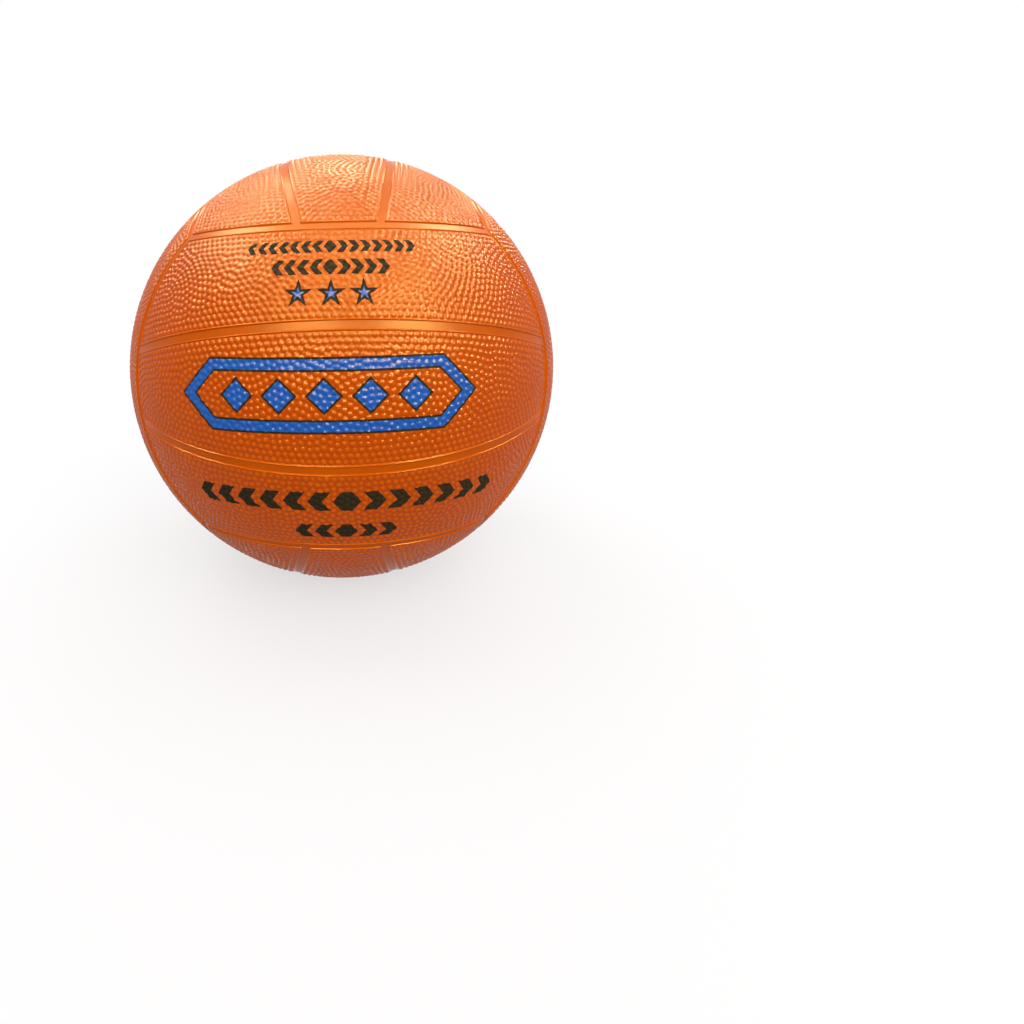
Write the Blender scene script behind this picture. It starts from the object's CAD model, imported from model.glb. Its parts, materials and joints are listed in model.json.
"""Looks of the junior netball: pebbled panels, smooth channels, valve, print and a white stage.

Metres, in the part's own frame: the ball's centre is the origin, +Z is up and the front face
looks along -Y.
"""
import json
import math

import bpy
import numpy as np
from mathutils import Matrix, Vector
from mathutils.geometry import delaunay_2d_cdt
from mathutils.kdtree import KDTree

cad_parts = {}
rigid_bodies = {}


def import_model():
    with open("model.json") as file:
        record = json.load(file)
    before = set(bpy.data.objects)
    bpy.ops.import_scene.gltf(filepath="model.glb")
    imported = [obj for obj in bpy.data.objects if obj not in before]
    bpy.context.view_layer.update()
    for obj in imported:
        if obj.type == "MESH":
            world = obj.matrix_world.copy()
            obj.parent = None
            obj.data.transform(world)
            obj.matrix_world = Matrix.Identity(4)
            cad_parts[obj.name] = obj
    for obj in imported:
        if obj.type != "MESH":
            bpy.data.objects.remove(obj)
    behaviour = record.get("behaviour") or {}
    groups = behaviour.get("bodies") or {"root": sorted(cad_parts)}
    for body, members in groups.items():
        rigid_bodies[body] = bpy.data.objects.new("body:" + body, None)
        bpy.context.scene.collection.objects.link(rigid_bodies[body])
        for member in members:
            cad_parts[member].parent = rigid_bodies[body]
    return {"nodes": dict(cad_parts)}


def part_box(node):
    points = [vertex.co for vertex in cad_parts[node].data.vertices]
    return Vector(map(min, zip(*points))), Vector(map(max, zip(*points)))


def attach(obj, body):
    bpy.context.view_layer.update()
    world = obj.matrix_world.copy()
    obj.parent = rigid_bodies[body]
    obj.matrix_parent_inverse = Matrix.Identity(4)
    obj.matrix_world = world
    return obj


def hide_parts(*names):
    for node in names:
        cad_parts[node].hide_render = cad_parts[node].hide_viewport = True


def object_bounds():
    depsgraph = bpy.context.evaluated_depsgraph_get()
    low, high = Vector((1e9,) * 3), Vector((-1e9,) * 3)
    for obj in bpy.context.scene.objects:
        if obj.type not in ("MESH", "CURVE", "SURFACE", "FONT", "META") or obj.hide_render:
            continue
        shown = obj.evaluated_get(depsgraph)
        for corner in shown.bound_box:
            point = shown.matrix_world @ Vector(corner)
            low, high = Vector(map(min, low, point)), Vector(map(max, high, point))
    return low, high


for leftover in list(bpy.data.objects):
    bpy.data.objects.remove(leftover)

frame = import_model()
cad_low, cad_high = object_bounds()
nodes = frame["nodes"]

MM = 0.001


def reach(node):
    """Least and greatest distance of a CAD node's vertices from the ball's centre."""
    lengths = [vertex.co.length for vertex in nodes[node].data.vertices]
    return min(lengths), max(lengths)


# Radii of the layers, from the frame
seat_radius, bead_radius = reach("front_middle_panel")
face_radius = -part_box("front_middle_panel")[0].y
bead_height = bead_radius - face_radius

# Seams, as in the solids
corner_angle = math.acos(1 / math.sqrt(3))
strip_angle = math.radians(14.0)
half_channel = 1.4 * MM
bead_width = 0.6 * MM
valve_hole = 4.5 * MM
valve_hole_rounding = 0.08 * MM
valve_ring_inner = 5.7 * MM
valve_ring_outer = valve_ring_inner + bead_width

# A bead's section, in shares of its width and height
bead_shape = (
    (0.0, 0.0),
    (0.1, 0.3),
    (0.24, 0.62),
    (0.4, 0.87),
    (0.58, 1.0),
    (0.76, 0.93),
    (0.94, 0.68),
    (1.1, 0.32),
    (1.28, 0.0),
)

# Pebbles: mean pitch, gap between rows, and the rows' start inside the bead
pebble_pitch = 2.5 * MM
row_gap = math.sqrt(3) / 2 * pebble_pitch
first_row = half_channel + bead_width + 1.3 * MM

# Rows that follow an edge, how far their number waves, and how many rows are tried
border_rows = 2.6
border_wave = 0.7
border_row_tries = 7
swirl_row_tries = 45
loose_tries = 9000

# Swirls: how many a panel has, how far along it they lie and how far they stray, in radians
swirl_counts = {"middle": 5, "outer": 4}
swirl_reach = 0.78
swirl_stray = 0.1

# Settling, in pitches: least gap at the start, gap up to which pebbles push, and reach of the search
start_gap = 0.76
push_gap = 1.3
search_gap = 1.5
push_share = 0.12
settle_turns = 40
turns_per_search = 8

# Domes: height, radius in pitches, fall of the height from the top, and rings of vertices as (share, count)
pebble_height = 0.5 * MM
pebble_share = 0.45
dome_fall = 2.4
dome_fullness = 0.95
dome_rings = ((0.4, 6), (0.72, 10), (0.95, 12))

# Points along a panel's long edges, its ends and the valve's ring, and the grid of its underside
long_count = 170
end_count = 44
ring_count = 60
underside_step = 0.04
underside_margin = 4 * MM

ALONG = np.array([1.0, 0.0, 0.0])
NORMAL = np.array([0.0, 0.0, 1.0])


def unit(vectors):
    """Vectors scaled to length one."""
    return vectors / np.linalg.norm(vectors, axis=-1, keepdims=True)


def panel_edges(kind):
    """A panel's edges as (axis, base): a point inside has a latitude about the axis above the base.

    The face looks along +Z and its strips run along X. An outer strip lies on the +Y side.
    """
    end = (NORMAL, math.pi / 2 - corner_angle)
    lean_up = np.array([0.0, math.cos(strip_angle), math.sin(strip_angle)])
    if kind == "middle":
        low = (lean_up, 0.0)
        high = (lean_up * np.array([1.0, -1.0, 1.0]), 0.0)
        centre = NORMAL
    else:
        low = (lean_up * np.array([1.0, 1.0, -1.0]), 0.0)
        high = (np.array([0.0, -1.0, 0.0]), corner_angle - math.pi / 2)
        middle_angle = (strip_angle + math.pi / 2 - corner_angle) / 2
        centre = np.array([0.0, math.sin(middle_angle), math.cos(middle_angle)])
    return {"low": low, "high": high, "end": end, "centre": centre}


def depth_inside(edge, points):
    """How far points lie inside an edge, along the panel's face."""
    axis, base = edge
    return face_radius * (np.arcsin(np.clip(points @ axis, -1, 1)) - base)


def clearance(edges, points):
    """How far points lie inside the nearest of a panel's edges."""
    return np.min([depth_inside(edge, points) for key, edge in edges.items() if key != "centre"], axis=0)


def corner_point(first, second, depth, side):
    """Where two edges meet at one depth inside the panel, on one side along the strips."""
    axes = np.array([first[0][1:], second[0][1:]])
    heights = np.sin([first[1] + depth / face_radius, second[1] + depth / face_radius])
    across = np.linalg.solve(axes, heights)
    return np.array([side * math.sqrt(1 - across @ across), *across])


def edge_points(edge, depth, start, stop, count):
    """Points along an edge, from one corner up to the next, which isn't included."""
    axis, base = edge
    around = np.cross(axis, ALONG)
    first = math.atan2(start @ around, start @ ALONG)
    last = math.atan2(stop @ around, stop @ ALONG)
    turn = (last - first + math.pi) % (2 * math.pi) - math.pi
    angles = first + turn * np.arange(count) / count
    latitude = base + depth / face_radius
    ring = np.outer(np.cos(angles), ALONG) + np.outer(np.sin(angles), around)
    return math.sin(latitude) * axis + math.cos(latitude) * ring


def rim_loop(edges, depth):
    """Directions round a panel at one depth inside its edges, anticlockwise seen from outside."""
    low, high, end = edges["low"], edges["high"], edges["end"]
    low_left = corner_point(low, end, depth, -1)
    low_right = corner_point(low, end, depth, 1)
    high_right = corner_point(high, end, depth, 1)
    high_left = corner_point(high, end, depth, -1)
    return np.concatenate([
        edge_points(low, depth, low_left, low_right, long_count),
        edge_points(end, depth, low_right, high_right, end_count),
        edge_points(high, depth, high_right, high_left, long_count),
        edge_points(end, depth, high_left, low_left, end_count),
    ])


def valve_loop(distance):
    """Directions round the valve's axis at one distance from it."""
    angles = 2 * math.pi * np.arange(ring_count) / ring_count
    tilt = math.asin(distance / face_radius)
    flat = np.outer(np.cos(angles), ALONG) + np.outer(np.sin(angles), np.cross(NORMAL, ALONG))
    return math.sin(tilt) * flat + math.cos(tilt) * NORMAL


def flat_map(edges, directions):
    """Directions in the panel's flat map, in millimetres. The map keeps circles round."""
    centre = edges["centre"]
    up = np.cross(centre, ALONG)
    scale = 2 * face_radius / MM / (1 + directions @ centre)
    return np.column_stack([directions @ ALONG * scale, directions @ up * scale])


def fill(edges, rims, loose):
    """Triangles between closed rims and loose points. Corners count the rims' points first."""
    flat = flat_map(edges, np.concatenate([*rims, loose]))
    walls = []
    start = 0
    for rim in rims:
        count = len(rim)
        walls += [(start + i, start + (i + 1) % count) for i in range(count)]
        start += count
    made = delaunay_2d_cdt([Vector(point) for point in flat.tolist()], walls, [], 1, 1e-7)
    origin = [sources[0] for sources in made[3]]
    triangles = np.array([[origin[corner] for corner in face] for face in made[2]])
    if len(rims) > 1:
        # The second rim is a hole: the triangles that only touch that rim lie in it
        hole_start = len(rims[0])
        in_hole = (triangles >= hole_start) & (triangles < start)
        triangles = triangles[~in_hole.all(axis=1)]
    return triangles


def nearest(points, limit):
    """For each point, the (index, distance) pairs of the points within a limit."""
    tree = KDTree(len(points))
    for index, point in enumerate(points.tolist()):
        tree.insert(point, index)
    tree.balance()
    return [[(found, gap) for _, found, gap in tree.find_range(point, limit)] for point in points.tolist()]


def row_circle(axis, latitude, random):
    """Evenly spaced directions on a circle about an axis."""
    count = max(round(2 * math.pi * math.cos(latitude) * face_radius / pebble_pitch), 1)
    angles = 2 * math.pi * (np.arange(count) + random.random()) / count
    side = unit(np.cross(axis, NORMAL + 0.3 * ALONG))
    ring = np.outer(np.cos(angles), side) + np.outer(np.sin(angles), np.cross(axis, side))
    return math.sin(latitude) * axis + math.cos(latitude) * ring


def pebble_centres(edges, kind, random):
    """Where a panel's pebbles stand: rows along its edges, and swirls of curved rows inside them."""
    borders = [edges["low"], edges["high"], edges["end"]]
    if "ring" in edges:
        borders.append(edges["ring"])
    centre = edges["centre"]
    side = np.cross(centre, ALONG)

    # Each swirl has a domain about its seed, and rows that curve round its own eye
    swirl_count = swirl_counts[kind]
    places = np.linspace(-swirl_reach, swirl_reach, swirl_count)
    places = places + random.uniform(-swirl_stray, swirl_stray, swirl_count)
    drift = random.uniform(-swirl_stray, swirl_stray, swirl_count)
    seeds = unit(centre + np.outer(np.tan(places), ALONG) + np.outer(drift, side))
    eyes = unit(seeds + random.normal(0, swirl_stray, (swirl_count, 3)))
    phases = random.uniform(0, 2 * math.pi, 3)

    def family(points):
        """Which edge's rows or which swirl each point belongs to, and how deep it lies."""
        depths = np.column_stack([depth_inside(border, points) for border in borders])
        wave = np.sin(points @ (22 * ALONG) + phases[0]) + np.sin(points @ (17 * side) + phases[1])
        border_depth = first_row + pebble_pitch * (border_rows + border_wave * wave)
        inside = len(borders) + (points @ seeds.T).argmax(axis=1)
        owner = np.where(depths.min(axis=1) < border_depth, depths.argmin(axis=1), inside)
        return owner, depths.min(axis=1)

    candidates = []
    for row in range(border_row_tries):
        for index, (axis, base) in enumerate(borders):
            latitude = base + (first_row + row * row_gap) / face_radius
            points = row_circle(axis, latitude, random)
            owner, depth = family(points)
            candidates.append(points[(owner == index) & (depth > first_row - 0.1 * MM)])
    for index, eye in enumerate(eyes):
        for row in range(swirl_row_tries):
            latitude = math.pi / 2 - (row + 0.5) * row_gap / face_radius
            points = row_circle(eye, latitude, random)
            owner, depth = family(points)
            candidates.append(points[(owner == len(borders) + index) & (depth > first_row)])

    # Loose points fill the holes that the rows leave
    lengthwise = random.uniform(-1.5, 1.5, (loose_tries, 1))
    sideways = random.uniform(-0.4, 0.4, (loose_tries, 1))
    loose = unit(centre + lengthwise * ALONG + sideways * side)
    candidates.append(loose[family(loose)[1] > first_row])
    points = np.concatenate(candidates)
    taken = np.zeros(len(points), bool)
    for index, found in enumerate(nearest(points * face_radius, start_gap * pebble_pitch)):
        taken[index] = not any(taken[other] for other, _ in found)
    points = points[taken]

    # Pebbles push their neighbours away, and stay inside their first row
    rest = push_gap * pebble_pitch / face_radius
    for turn in range(settle_turns):
        if turn % turns_per_search == 0:
            pairs = nearest(points * face_radius, search_gap * pebble_pitch)
            first = np.repeat(np.arange(len(points)), [len(found) for found in pairs])
            second = np.array([other for found in pairs for other, _ in found])
            different = first != second
            first = first[different]
            second = second[different]
        apart = points[first] - points[second]
        gap = np.linalg.norm(apart, axis=1, keepdims=True)
        push = np.maximum(rest - gap, 0) / gap * apart
        moves = [np.bincount(first, push[:, axis], len(points)) for axis in range(3)]
        points = unit(points + push_share * np.column_stack(moves))
        for axis, base in borders:
            short = np.maximum(first_row - depth_inside((axis, base), points), 0) / face_radius
            inward = unit(axis - (points @ axis)[:, None] * points)
            points = unit(points + short[:, None] * inward)
    return points


def pebble_points(edges, rim, centres, random):
    """Directions and heights of the vertices on the pebbles' domes and in the valleys between them."""
    found = nearest(centres * face_radius, 1.6 * pebble_pitch)
    closest = np.array([
        min([gap for other, gap in near if other != index], default=pebble_pitch)
        for index, near in enumerate(found)
    ])
    widest = pebble_pitch * pebble_share
    room = clearance(edges, centres) - half_channel - 1.1 * bead_width
    base = np.minimum(closest * pebble_share, room)
    base = np.clip(base * random.normal(1, 0.03, len(base)), 0.7 * widest, 1.1 * widest)
    height = pebble_height * np.clip(base / widest, 0.8, 1.0) * random.uniform(0.9, 1.0, len(base))
    side = unit(np.cross(centres, np.array([0.3, 0.9, 0.2])))
    other = np.cross(centres, side)
    directions = [centres]
    heights = [height]
    for share, count in dome_rings:
        angles = random.uniform(0, 2 * math.pi, (len(centres), 1)) + 2 * math.pi * np.arange(count) / count
        spread = np.cos(angles)[..., None] * side[:, None] + np.sin(angles)[..., None] * other[:, None]
        ring = unit(centres[:, None] + spread * (share * base / face_radius)[:, None, None])
        directions.append(ring.reshape(-1, 3))
        heights.append(np.repeat(height * (1 - share**dome_fall) ** dome_fullness, count))
    corners = fill(edges, [rim], centres) - len(rim)
    corners = corners[(corners >= 0).all(axis=1)]
    valleys = unit(centres[corners].mean(axis=1))
    valleys = valleys[clearance(edges, valleys) > first_row - pebble_pitch / 4]
    directions.append(valleys)
    heights.append(np.zeros(len(valleys)))
    return np.concatenate(directions), np.concatenate(heights)


def bead_profile(start, ground):
    """A bead's section as (distance, radius), from its foot at the channel to the ground behind it."""
    return [(start + share * bead_width, ground + rise * bead_height) for share, rise in bead_shape]


def bands(first, rows, count):
    """Quads between closed rows of vertices, from the first vertex's number on."""
    step = np.arange(count)
    after = (step + 1) % count
    quads = []
    for row in range(rows - 1):
        outer = first + row * count
        inner = outer + count
        quads.append(np.column_stack([outer + step, outer + after, inner + after, inner + step]))
    return np.concatenate(quads)


def build_panel(name, kind, turn, seed):
    """The mesh of one panel: walls, bead, pebbled face and underside, turned to its place."""
    random = np.random.default_rng(seed)
    edges = panel_edges(kind)
    has_valve = name == "right_middle_panel"
    if has_valve:
        edges["ring"] = (-NORMAL, (valve_ring_outer - half_channel - bead_width) / face_radius - math.pi / 2)

    # Walls and bead: closed loops, joined in bands
    section = [(half_channel, seat_radius)] + bead_profile(half_channel, face_radius)
    loops = [rim_loop(edges, depth) for depth, _ in section]
    count = len(loops[0])
    vertices = [loop * radius for loop, (_, radius) in zip(loops, section)]
    relief = [np.full(count, 1.0) for _ in loops]
    quads = [bands(0, len(loops), count)]
    total = len(loops) * count
    lower_rims = [loops[0]]
    upper_rims = [loops[-1]]
    lower_index = [np.arange(count)]
    upper_index = [np.arange(total - count, total)]

    if has_valve:
        # The valve's hole and the ring round it
        hole = [
            (valve_hole, seat_radius),
            (valve_hole, face_radius - valve_hole_rounding),
            (valve_hole + valve_hole_rounding, face_radius),
        ]
        section = hole + bead_profile(valve_ring_inner, face_radius)
        loops = [valve_loop(distance) for distance, _ in section]
        vertices += [loop * radius for loop, (_, radius) in zip(loops, section)]
        relief += [np.full(ring_count, 1.0) for _ in loops]
        quads.append(bands(total, len(loops), ring_count)[:, ::-1])
        step = np.arange(ring_count)
        lower_rims.append(loops[0])
        lower_index.append(total + step)
        total += len(loops) * ring_count
        upper_rims.append(loops[-1])
        upper_index.append(total - ring_count + step)

    # Pebbled face
    centres = pebble_centres(edges, kind, random)
    domes, heights = pebble_points(edges, upper_rims[0], centres, random)
    vertices.append(domes * (face_radius + heights)[:, None])
    relief.append(heights / pebble_height)
    upper_index.append(total + np.arange(len(domes)))
    total += len(domes)
    triangles = [np.concatenate(upper_index)[fill(edges, upper_rims, domes)]]

    # Underside, with points of its own
    across = np.arange(-0.24, 0.25, underside_step)
    lengthwise = np.arange(-1.36, 1.37, underside_step)
    side = np.cross(edges["centre"], ALONG)
    grid = unit(np.array([edges["centre"] + x * ALONG + y * side for x in lengthwise for y in across]))
    grid = grid[clearance(edges, grid) > underside_margin]
    vertices.append(grid * seat_radius)
    relief.append(np.zeros(len(grid)))
    lower_index.append(total + np.arange(len(grid)))
    total += len(grid)
    triangles.append(np.concatenate(lower_index)[fill(edges, lower_rims, grid)][:, ::-1])

    mesh = bpy.data.meshes.new(name)
    points = np.concatenate(vertices) @ turn.T
    faces = np.concatenate(quads).tolist() + np.concatenate(triangles).tolist()
    mesh.from_pydata(points.tolist(), [], faces)
    mesh.polygons.foreach_set("use_smooth", [True] * len(mesh.polygons))
    mesh.attributes.new("relief", "FLOAT", "POINT").data.foreach_set("value", np.concatenate(relief))
    mesh.update()
    piece = bpy.data.objects.new("pebbled_" + name, mesh)
    bpy.context.scene.collection.objects.link(piece)
    return piece


def new_material(name):
    """A material with nodes, and its tree and shader."""
    material = bpy.data.materials.new(name)
    material.use_nodes = True
    tree = material.node_tree
    return material, tree, tree.nodes["Principled BSDF"]


def noise(tree, coordinates, scale, detail):
    """A noise texture's value."""
    made = tree.nodes.new("ShaderNodeTexNoise")
    made.inputs["Scale"].default_value = scale
    made.inputs["Detail"].default_value = detail
    tree.links.new(coordinates, made.inputs["Vector"])
    return made.outputs["Fac"]


def ramp(tree, value, low, high):
    """A colour that goes from low to high with a value."""
    made = tree.nodes.new("ShaderNodeValToRGB")
    made.color_ramp.elements[0].color = (*low, 1)
    made.color_ramp.elements[1].color = (*high, 1)
    made.color_ramp.elements[0].position = 0.3
    made.color_ramp.elements[1].position = 0.7
    tree.links.new(value, made.inputs["Fac"])
    return made.outputs["Color"]


def spread(tree, value, low, high):
    """A value mapped to the range from low to high."""
    made = tree.nodes.new("ShaderNodeMapRange")
    made.inputs["To Min"].default_value = low
    made.inputs["To Max"].default_value = high
    tree.links.new(value, made.inputs["Value"])
    return made.outputs["Result"]


def bump(tree, shader, value, strength, distance):
    """A bump on the shader's normal."""
    made = tree.nodes.new("ShaderNodeBump")
    made.inputs["Strength"].default_value = strength
    made.inputs["Distance"].default_value = distance
    tree.links.new(value, made.inputs["Height"])
    tree.links.new(made.outputs["Normal"], shader.inputs["Normal"])


def calc(tree, operation, *values):
    """The result of a math node on sockets and numbers."""
    made = tree.nodes.new("ShaderNodeMath")
    made.operation = operation
    for socket, value in zip(made.inputs, values):
        if isinstance(value, (int, float)):
            socket.default_value = value
        else:
            tree.links.new(value, socket)
    return made.outputs[0]


def blend(tree, share, first, second):
    """A mix of two colours: sockets or plain colours."""
    made = tree.nodes.new("ShaderNodeMix")
    made.data_type = "RGBA"
    tree.links.new(share, made.inputs["Factor"])
    for socket, colour in ((made.inputs[6], first), (made.inputs[7], second)):
        if isinstance(colour, tuple):
            socket.default_value = (*colour, 1)
        else:
            tree.links.new(colour, socket)
    return made.outputs[2]


# Scales of the materials' noise, in turns per metre: mottling, grain and skin
mottle_scale = 60
grain_scale = 900
skin_scale = 3500
wear_scale = 700
skin_depth = 0.05 * MM


def rubber(name, dark, light, dullness, shine, tint):
    """Moulded rubber: slightly mottled, with a fine skin."""
    material, tree, shader = new_material(name)
    place = tree.nodes.new("ShaderNodeTexCoord").outputs["Object"]
    colour = ramp(tree, noise(tree, place, mottle_scale, 4), dark, light)
    tree.links.new(colour, shader.inputs["Base Color"])
    roughness = spread(tree, noise(tree, place, grain_scale, 2), dullness - 0.04, dullness + 0.06)
    tree.links.new(roughness, shader.inputs["Roughness"])
    bump(tree, shader, noise(tree, place, skin_scale, 2), 0.15, skin_depth)
    shader.inputs["Specular IOR Level"].default_value = shine
    shader.inputs["Specular Tint"].default_value = (*tint, 1)
    return material


# Thread: gap between its turns and its depth. At scale one, a wave's bands lie band_gap apart
thread_pitch = 1.2 * MM
thread_depth = 0.2 * MM
band_gap = 0.314


def wound_thread(name, dark, light):
    """Nylon thread wound round the ball in circles about three axes, with turns on top of each other."""
    material, tree, shader = new_material(name)
    place = tree.nodes.new("ShaderNodeTexCoord").outputs["Object"]
    height = 0.0
    for axis in ("X", "Y", "Z"):
        turns = tree.nodes.new("ShaderNodeTexWave")
        turns.bands_direction = axis
        turns.inputs["Scale"].default_value = band_gap / thread_pitch
        turns.inputs["Distortion"].default_value = 1.5
        turns.inputs["Detail Scale"].default_value = 0.05
        tree.links.new(place, turns.inputs["Vector"])
        height = calc(tree, "MAXIMUM", turns.outputs["Fac"], height)
    tree.links.new(ramp(tree, height, dark, light), shader.inputs["Base Color"])
    roughness = spread(tree, noise(tree, place, grain_scale, 2), 0.42, 0.55)
    tree.links.new(roughness, shader.inputs["Roughness"])
    bump(tree, shader, height, 0.6, thread_depth)
    return material


# Print on the front, in millimetres across and up the ball from the middle of its front
star_across = -3.2
star_up = 36.0
star_spacing = 11.9
star_radius = 5.6
star_outline = 1.0
frame_across = -6.0
frame_up = 1.5
frame_half_width = 55.0
frame_half_height = 13.0
frame_line = 0.8
frame_band = 3.4
diamond_spacing = 15.5
diamond_half = 6.4

# Rows of black chevrons: across, up, half height, pitch, and their number on each side of the middle
chevron_rows = (
    (-3.5, 54.0, 2.5, 4.6, 7),
    (-3.5, 45.8, 2.9, 5.0, 4),
    (1.0, -38.0, 4.2, 9.6, 6),
    (0.6, -53.0, 3.6, 8.4, 2),
)
chevron_share = 0.58
chevron_lean = 0.85
chevron_end = 0.9

# How deep in the pits the ink wears off, and how much duller the black ink is
ink_reach = 0.1
ink_wear = 0.18
black_dullness = 0.75

# How fast the pits' colour gives way to the pebbles', and how dull pits and tops are
pit_rise = 1.6
pit_dullness = 0.2
top_dullness = 0.15


def print_masks(tree, place):
    """Where the blue and the black ink of the print lie: stars, a frame of diamonds, and chevrons."""
    parts = tree.nodes.new("ShaderNodeSeparateXYZ")
    tree.links.new(place, parts.inputs["Vector"])
    x, y, z = parts.outputs

    def do(operation, *values):
        return calc(tree, operation, *values)

    def between(value, low, high):
        return do("MULTIPLY", do("GREATER_THAN", value, low), do("LESS_THAN", value, high))

    def nearest_in_row(value, spacing, last):
        step = do("ROUND", do("DIVIDE", value, spacing))
        step = do("MINIMUM", do("MAXIMUM", step, -last), last)
        return do("SUBTRACT", value, do("MULTIPLY", step, spacing))

    radius = face_radius / MM
    flat = do("SQRT", do("ADD", do("MULTIPLY", x, x), do("MULTIPLY", y, y)))
    across = do("MULTIPLY", do("ARCTAN2", x, do("MULTIPLY", y, -1.0)), radius)
    up = do("MULTIPLY", do("ARCTAN2", z, flat), radius)

    # Five-pointed stars, folded into half of one point: distance outside its edge from tip to notch
    aside = nearest_in_row(do("SUBTRACT", across, star_across), star_spacing, 1)
    above = do("SUBTRACT", up, star_up)
    reach_out = do("SQRT", do("ADD", do("MULTIPLY", aside, aside), do("MULTIPLY", above, above)))
    point_turn = 2 * math.pi / 5
    angle = do("ARCTAN2", aside, above)
    whole_points = do("ROUND", do("DIVIDE", angle, point_turn))
    angle = do("ABSOLUTE", do("SUBTRACT", angle, do("MULTIPLY", whole_points, point_turn)))
    notch = star_radius * math.sin(math.radians(18)) / math.sin(math.radians(54))
    edge = Vector((notch * math.cos(point_turn / 2) - star_radius, notch * math.sin(point_turn / 2)))
    outward = Vector((edge.y, -edge.x)).normalized()
    along = do("SUBTRACT", do("MULTIPLY", reach_out, do("COSINE", angle)), star_radius)
    off = do("MULTIPLY", reach_out, do("SINE", angle))
    star = do("ADD", do("MULTIPLY", along, outward.x), do("MULTIPLY", off, outward.y))
    blue = do("LESS_THAN", star, -star_outline)
    black = between(star, -star_outline, 0.0)

    # A long six-sided frame
    beside = do("SUBTRACT", across, frame_across)
    side = do("ABSOLUTE", beside)
    rise = do("ABSOLUTE", do("SUBTRACT", up, frame_up))
    slant = do("DIVIDE", do("SUBTRACT", do("ADD", side, rise), frame_half_width), math.sqrt(2))
    outside = do("MAXIMUM", do("SUBTRACT", rise, frame_half_height), slant)
    band = frame_line + frame_band
    blue = do("MAXIMUM", blue, between(outside, -band, -frame_line))
    black = do("MAXIMUM", black, between(outside, -frame_line, 0.0))
    black = do("MAXIMUM", black, between(outside, -band - frame_line, -band))

    # Diamonds in the frame
    apart = do("ABSOLUTE", nearest_in_row(beside, diamond_spacing, 2))
    diamond = do("DIVIDE", do("SUBTRACT", do("ADD", apart, rise), diamond_half), math.sqrt(2))
    blue = do("MAXIMUM", blue, do("LESS_THAN", diamond, -frame_line))
    black = do("MAXIMUM", black, between(diamond, -frame_line, 0.0))

    # Chevrons that point away from the middle
    for row_across, row_up, half_height, pitch, count in chevron_rows:
        side = do("ABSOLUTE", do("SUBTRACT", across, row_across))
        rise = do("ABSOLUTE", do("SUBTRACT", up, row_up))
        turn = do("DIVIDE", do("ADD", side, do("MULTIPLY", rise, chevron_lean)), pitch)
        mark = do("LESS_THAN", do("FRACT", turn), chevron_share)
        mark = do("MULTIPLY", mark, do("LESS_THAN", turn, count + chevron_end))
        mark = do("MULTIPLY", mark, do("LESS_THAN", rise, half_height))
        black = do("MAXIMUM", black, mark)
    return blue, black


def pebbled_rubber(name, dark, light, shine, tint, printed):
    """Rubber of the panels: deeper orange between the pebbles, smoother on their tops, with the print."""
    material, tree, shader = new_material(name)
    place = tree.nodes.new("ShaderNodeTexCoord").outputs["Object"]
    attribute = tree.nodes.new("ShaderNodeAttribute")
    attribute.attribute_name = "relief"
    relief = attribute.outputs["Fac"]
    colour = ramp(tree, noise(tree, place, mottle_scale, 4), dark, light)
    risen = calc(tree, "MINIMUM", calc(tree, "MULTIPLY", relief, pit_rise), 1.0)
    colour = blend(tree, risen, pit_orange, colour)
    polish = spread(tree, relief, pit_dullness, top_dullness)
    grain = spread(tree, noise(tree, place, grain_scale, 2), -0.03, 0.05)
    roughness = calc(tree, "ADD", polish, grain)
    if printed:
        # The ink is thin in the deepest pits, and the black is matt
        blue, black = print_masks(tree, place)
        worn = calc(tree, "MULTIPLY", noise(tree, place, wear_scale, 3), ink_wear)
        ink = calc(tree, "GREATER_THAN", calc(tree, "ADD", relief, ink_reach), worn)
        blue = calc(tree, "MULTIPLY", blue, ink)
        black = calc(tree, "MULTIPLY", black, ink)
        colour = blend(tree, blue, colour, blue_ink)
        colour = blend(tree, black, colour, black_ink)
        roughness = calc(tree, "MULTIPLY_ADD", black, black_dullness, roughness)
    tree.links.new(colour, shader.inputs["Base Color"])
    tree.links.new(roughness, shader.inputs["Roughness"])
    bump(tree, shader, noise(tree, place, skin_scale, 2), 0.05, skin_depth)
    shader.inputs["Specular IOR Level"].default_value = shine
    shader.inputs["Specular Tint"].default_value = (*tint, 1)
    return material


# Colours, and the tints of the highlights, which are warm on orange rubber
warm = (1.0, 0.76, 0.36)
plain = (1.0, 1.0, 1.0)
orange_dark = (0.575, 0.09, 0.0003)
orange_light = (0.635, 0.105, 0.0005)
pit_orange = (0.525, 0.062, 0.0002)
channel_dark = (0.53, 0.083, 0.0003)
channel_light = (0.585, 0.098, 0.0005)
blue_ink = (0.012, 0.11, 0.45)
black_ink = (0.006, 0.006, 0.006)
valve_dark = (0.012, 0.012, 0.012)
valve_light = (0.02, 0.02, 0.02)
bladder_dark = (0.015, 0.015, 0.016)
bladder_light = (0.024, 0.024, 0.025)
thread_dark = (0.34, 0.32, 0.28)
thread_light = (0.7, 0.68, 0.62)

# Materials
shine = 0.1
cover = pebbled_rubber("cover_rubber", orange_dark, orange_light, shine, warm, False)
printed_cover = pebbled_rubber("printed_rubber", orange_dark, orange_light, shine, warm, True)
channel = rubber("channel_rubber", channel_dark, channel_light, 0.34, 0.08, warm)
black_rubber = rubber("valve_rubber", valve_dark, valve_light, 0.5, shine, plain)
bladder_rubber = rubber("bladder_rubber", bladder_dark, bladder_light, 0.45, shine, plain)
thread = wound_thread("nylon_thread", thread_dark, thread_light)

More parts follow.
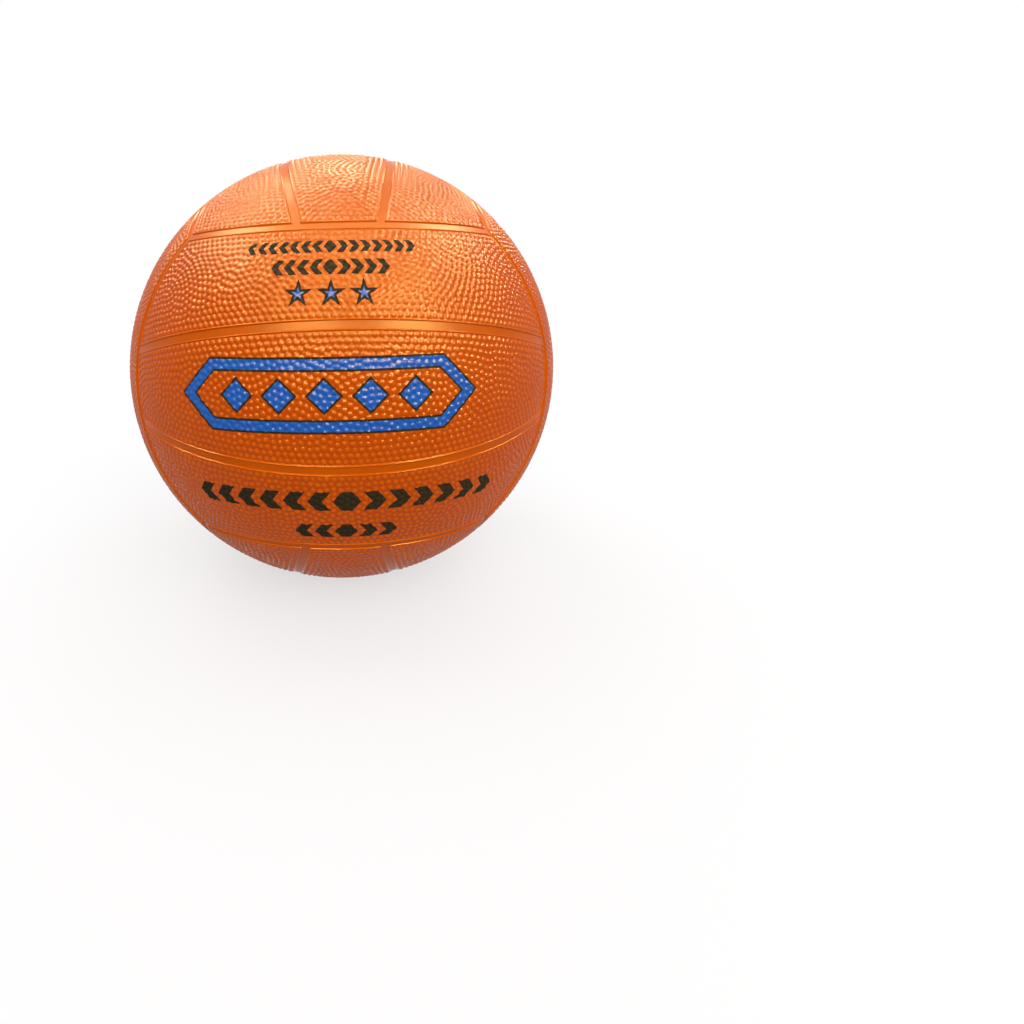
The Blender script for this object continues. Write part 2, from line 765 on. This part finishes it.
# Each face: its normal, the way its strips run, and its strips' names from the +Y side of that frame
faces = {
    "front": ((0, -1, 0), (1, 0, 0), ("upper", "middle", "lower")),
    "back": ((0, 1, 0), (-1, 0, 0), ("upper", "middle", "lower")),
    "top": ((0, 0, 1), (0, 1, 0), ("left", "middle", "right")),
    "bottom": ((0, 0, -1), (0, -1, 0), ("left", "middle", "right")),
    "right": ((1, 0, 0), (0, 0, 1), ("front", "middle", "rear")),
    "left": ((-1, 0, 0), (0, 0, -1), ("front", "middle", "rear")),
}
seed = 0
for face, (normal, run, names) in faces.items():
    normal = np.array(normal, float)
    run = np.array(run, float)
    for name, kind, way in zip(names, ("outer", "middle", "outer"), (run, run, -run)):
        seed += 1
        node = f"{face}_{name}_panel"
        turn = np.column_stack([way, np.cross(normal, way), normal])
        piece = build_panel(node, kind, turn, seed)
        piece.data.materials.append(printed_cover if face == "front" else cover)
        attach(piece, "root")
        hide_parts(node)

for node, material in (
    ("carcass", channel),
    ("nylon_winding", thread),
    ("bladder", bladder_rubber),
    ("valve_boot", black_rubber),
    ("valve_core", black_rubber),
):
    nodes[node].data.materials.clear()
    nodes[node].data.materials.append(material)

# Floor and background: white to the camera, with the ball's shadow
floor_mesh = bpy.data.meshes.new("floor")
floor_half = 6.0
corner_signs = ((-1, -1), (1, -1), (1, 1), (-1, 1))
corners = [(x * floor_half, y * floor_half, cad_low.z) for x, y in corner_signs]
floor_mesh.from_pydata(corners, [], [(0, 1, 2, 3)])
floor = bpy.data.objects.new("floor", floor_mesh)
bpy.context.scene.collection.objects.link(floor)


def seen_rays(tree):
    """One for camera, glossy and transmission rays, and none for the rest."""
    path = tree.nodes.new("ShaderNodeLightPath")
    seen = calc(tree, "MAXIMUM", path.outputs["Is Camera Ray"], path.outputs["Is Glossy Ray"])
    return calc(tree, "MAXIMUM", seen, path.outputs["Is Transmission Ray"])


floor_grey = 0.33
floor_glow = 0.64
floor_material, tree, shader = new_material("floor_white")
shader.inputs["Base Color"].default_value = (floor_grey, floor_grey, floor_grey, 1)
shader.inputs["Roughness"].default_value = 1.0
shader.inputs["Specular IOR Level"].default_value = 0.0
shader.inputs["Emission Color"].default_value = (1, 1, 1, 1)

# The floor's own white makes up for what it doesn't throw back of the studio's light
tree.links.new(calc(tree, "MULTIPLY", seen_rays(tree), floor_glow), shader.inputs["Emission Strength"])
floor_mesh.materials.append(floor_material)

world = bpy.data.worlds.new("studio")
bpy.context.scene.world = world
world.use_nodes = True
tree = world.node_tree
background = tree.nodes["Background"]
background.inputs["Color"].default_value = (1, 1, 1, 1)

# White up to well above the horizon, and a dim ceiling over the set
ceiling_start = math.radians(36)
ceiling_end = math.radians(48)
ceiling_level = 0.06
direction = tree.nodes.new("ShaderNodeTexCoord").outputs["Generated"]
height = tree.nodes.new("ShaderNodeSeparateXYZ")
tree.links.new(direction, height.inputs["Vector"])
ceiling = tree.nodes.new("ShaderNodeMapRange")
ceiling.inputs["From Min"].default_value = math.sin(ceiling_start)
ceiling.inputs["From Max"].default_value = math.sin(ceiling_end)
ceiling.inputs["To Min"].default_value = 1.0
ceiling.inputs["To Max"].default_value = ceiling_level
tree.links.new(height.outputs["Z"], ceiling.inputs["Value"])

# Soft lights: azimuth, elevation and level. At level one a light turns a white sheet to plain white
soft_lights = ((-12, 31, 0.48), (34, 30, 0.42), (-100, 66, 0.28), (106, 62, 0.21), (180, 7, 0.4))
light_focus = 14
light_all_round = 0.16


def way_to(azimuth, elevation):
    """Direction at an azimuth from the front, to the right, and an elevation."""
    azimuth = math.radians(azimuth)
    elevation = math.radians(elevation)
    flat = math.cos(elevation)
    return Vector((math.sin(azimuth) * flat, -math.cos(azimuth) * flat, math.sin(elevation)))


light = light_all_round
for azimuth, elevation, level in soft_lights:
    facing = tree.nodes.new("ShaderNodeVectorMath")
    facing.operation = "DOT_PRODUCT"
    tree.links.new(direction, facing.inputs[0])
    facing.inputs[1].default_value = way_to(azimuth, elevation)
    lobe = calc(tree, "POWER", calc(tree, "MAXIMUM", facing.outputs["Value"], 0.0), light_focus)
    light = calc(tree, "MULTIPLY_ADD", lobe, level * (light_focus + 2) / 2, light)

strength = tree.nodes.new("ShaderNodeMapRange")
tree.links.new(light, strength.inputs["To Min"])
tree.links.new(seen_rays(tree), strength.inputs["Value"])
tree.links.new(ceiling.outputs["Result"], strength.inputs["To Max"])
tree.links.new(strength.outputs["Result"], background.inputs["Strength"])

# Lamps that make the highlights alone, in a yellower light
lamp_distance = 1.3
sheen_colour = (0.95, 0.83, 0.5)


def add_sheen(name, azimuth, elevation, width, height, radiance):
    """A lamp that looks at the ball's centre and only shows as a highlight on it."""
    way = way_to(azimuth, elevation)
    lamp = bpy.data.lights.new(name, "AREA")
    lamp.shape = "RECTANGLE"
    lamp.size = width
    lamp.size_y = height
    lamp.energy = radiance * math.pi * width * height
    lamp.color = sheen_colour
    made = bpy.data.objects.new(name, lamp)
    made.location = lamp_distance * way
    made.rotation_euler = (-way).to_track_quat("-Z", "Y").to_euler()
    made.visible_diffuse = False
    bpy.context.scene.collection.objects.link(made)


add_sheen("front_left_sheen", -16, 30, 0.6, 0.6, 80)
add_sheen("front_right_sheen", 36, 29, 0.6, 0.6, 125)
add_sheen("top_left_sheen", -86, 53, 0.5, 0.5, 78)
add_sheen("top_right_sheen", 96, 52, 0.5, 0.5, 62)
add_sheen("back_left_sheen", -131, 66, 0.3, 0.3, 44)
add_sheen("back_sheen", 176, 61, 0.3, 0.3, 50)
add_sheen("overhead_sheen", 0, 74, 1.2, 0.2, 60)
add_sheen("rear_sheen", 180, 7, 0.5, 0.5, 60)

# Camera: the photograph's view of the front, with the ball on the lens's axis
image_size = 1024
ball_place = (341.5, 365.9)
ball_pixels = 211.9
camera_distance = 2.634
camera_elevation = math.radians(6.37)
camera_roll = math.radians(1.22)
camera_data = bpy.data.cameras.new("camera")
focal_pixels = ball_pixels * math.sqrt(camera_distance**2 - 1)
camera_data.sensor_width = 36.0
camera_data.lens = camera_data.sensor_width * focal_pixels / image_size
camera_data.shift_x = (image_size / 2 - ball_place[0]) / image_size
camera_data.shift_y = (ball_place[1] - image_size / 2) / image_size
camera_data.clip_start = 0.01
camera = bpy.data.objects.new("camera", camera_data)
upright = Matrix.Rotation(math.pi / 2, 4, "X")
tilt = Matrix.Rotation(-camera_elevation, 4, "X") @ Matrix.Rotation(camera_roll, 4, "Y")
back = Matrix.Translation((0, 0, camera_distance * bead_radius))
camera.matrix_world = tilt @ upright @ back
bpy.context.scene.collection.objects.link(camera)
bpy.context.scene.camera = camera
bpy.context.scene.view_settings.view_transform = "Standard"
